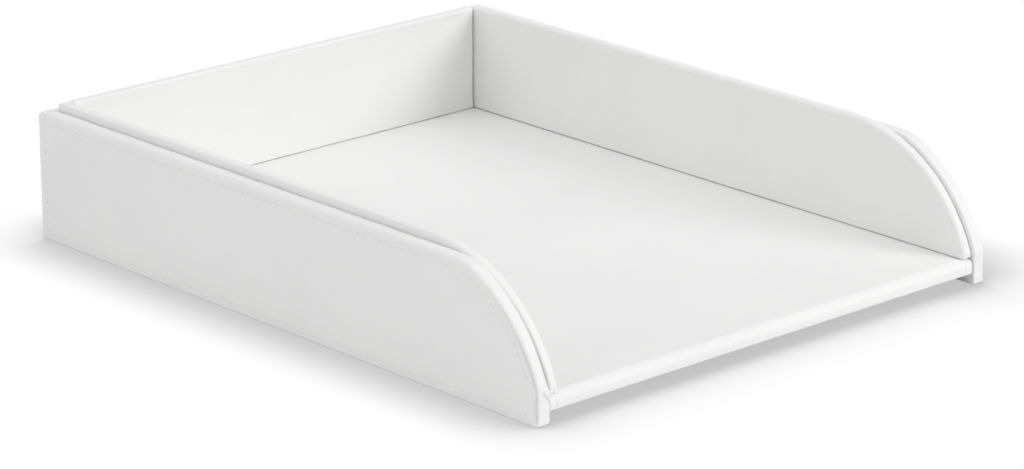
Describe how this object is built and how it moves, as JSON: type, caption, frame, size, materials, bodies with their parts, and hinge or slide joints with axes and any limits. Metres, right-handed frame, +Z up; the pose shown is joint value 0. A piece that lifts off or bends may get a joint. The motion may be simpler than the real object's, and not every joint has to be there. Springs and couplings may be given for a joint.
{
  "type": "stackable letter tray",
  "caption": "Low tray for letter and A4 paper, open at the front, with double walls of wrapped board, curved side fronts and a stacking lip.",
  "frame": {"origin": "on the desk, under the middle of the tray", "axes": "+Y towards the rear wall, with the open front towards -Y; +Z up; X from left to right"},
  "size_m": [0.268, 0.33, 0.0634],
  "materials": {
    "white_leatherette": "smooth white leatherette with a faint grain, soft satin sheen",
    "hardboard": "plain brown hardboard, matt",
    "backing_cloth": "off-white woven backing, matt",
    "underside_felt": "pale grey felt, matt"
  },
  "bodies": {
    "root": {"left_outer_cover": "white_leatherette", "left_outer_board": "hardboard", "left_outer_backing": "backing_cloth", "right_outer_cover": "white_leatherette", "right_outer_board": "hardboard", "right_outer_backing": "backing_cloth", "rear_outer_cover": "white_leatherette", "rear_outer_board": "hardboard", "rear_outer_backing": "backing_cloth", "left_liner_cover": "white_leatherette", "left_liner_board": "hardboard", "right_liner_cover": "white_leatherette", "right_liner_board": "hardboard", "rear_liner_cover": "white_leatherette", "rear_liner_board": "hardboard", "floor_cover": "white_leatherette", "floor_board": "hardboard", "floor_underside_lining": "underside_felt"}
  },
  "joints": []
}
